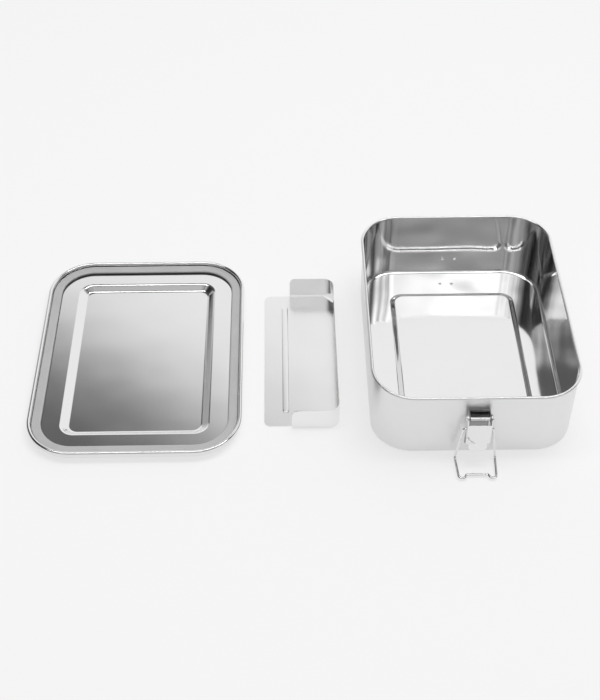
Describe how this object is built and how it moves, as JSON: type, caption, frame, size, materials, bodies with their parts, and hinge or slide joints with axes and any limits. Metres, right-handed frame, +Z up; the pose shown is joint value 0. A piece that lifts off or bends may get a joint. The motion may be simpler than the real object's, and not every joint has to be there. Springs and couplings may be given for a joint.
{
  "type": "lunch box",
  "caption": "Two-clasp stainless steel lunch box laid open: deep box with bail clasps, lid with grey seal ring lying upside down, and a loose sheet divider",
  "frame": {"origin": "on the ground, in the middle of the layout of box, divider and lid", "axes": "+X from the lid to the box, across both short sides; -Y towards the viewer and the front clasp; +Z up"},
  "size_m": [0.414, 0.2598, 0.06],
  "materials": {
    "polished_steel": "polished stainless sheet",
    "satin_steel": "satin stainless sheet",
    "steel_wire": "bright drawn wire",
    "grey_silicone": "matt silicone"
  },
  "bodies": {
    "box": {"box_shell": "polished_steel", "front_clasp_bracket": "polished_steel", "front_clasp_pin": "polished_steel", "rear_clasp_bracket": "polished_steel", "rear_clasp_pin": "polished_steel"},
    "lid": {"lid_shell": "satin_steel", "lid_gasket": "grey_silicone"},
    "divider": {"divider": "satin_steel"},
    "front_lever": {"front_clasp_lever": "satin_steel"},
    "front_bail": {"front_clasp_bail": "steel_wire"},
    "rear_lever": {"rear_clasp_lever": "satin_steel"},
    "rear_bail": {"rear_clasp_bail": "steel_wire"}
  },
  "joints": [
    {"name": "lid_turn", "type": "hinge", "parent": "box", "child": "lid", "pos_m": [0.002, 0, 0.03365], "axis": [0, 1, 0], "range_deg": [0, 180]},
    {"name": "divider_lift", "type": "slide", "parent": "box", "child": "divider", "axis": [0, 0, 1], "range_m": [0, 0.06]},
    {"name": "front_lever_turn", "type": "hinge", "parent": "box", "child": "front_lever", "pos_m": [0.1295, -0.1088, 0.0444], "axis": [1, 0, 0], "range_deg": [-140, 0]},
    {"name": "front_bail_turn", "type": "hinge", "parent": "front_lever", "child": "front_bail", "pos_m": [0.1295, -0.1084, 0.0332], "axis": [-1, 0, 0], "range_deg": [-3, 178.7]},
    {"name": "rear_lever_turn", "type": "hinge", "parent": "box", "child": "rear_lever", "pos_m": [0.1295, 0.1088, 0.0444], "axis": [-1, 0, 0], "range_deg": [-140, 0]},
    {"name": "rear_bail_turn", "type": "hinge", "parent": "rear_lever", "child": "rear_bail", "pos_m": [0.1295, 0.1084, 0.0332], "axis": [1, 0, 0], "range_deg": [-3, 178.7]}
  ]
}
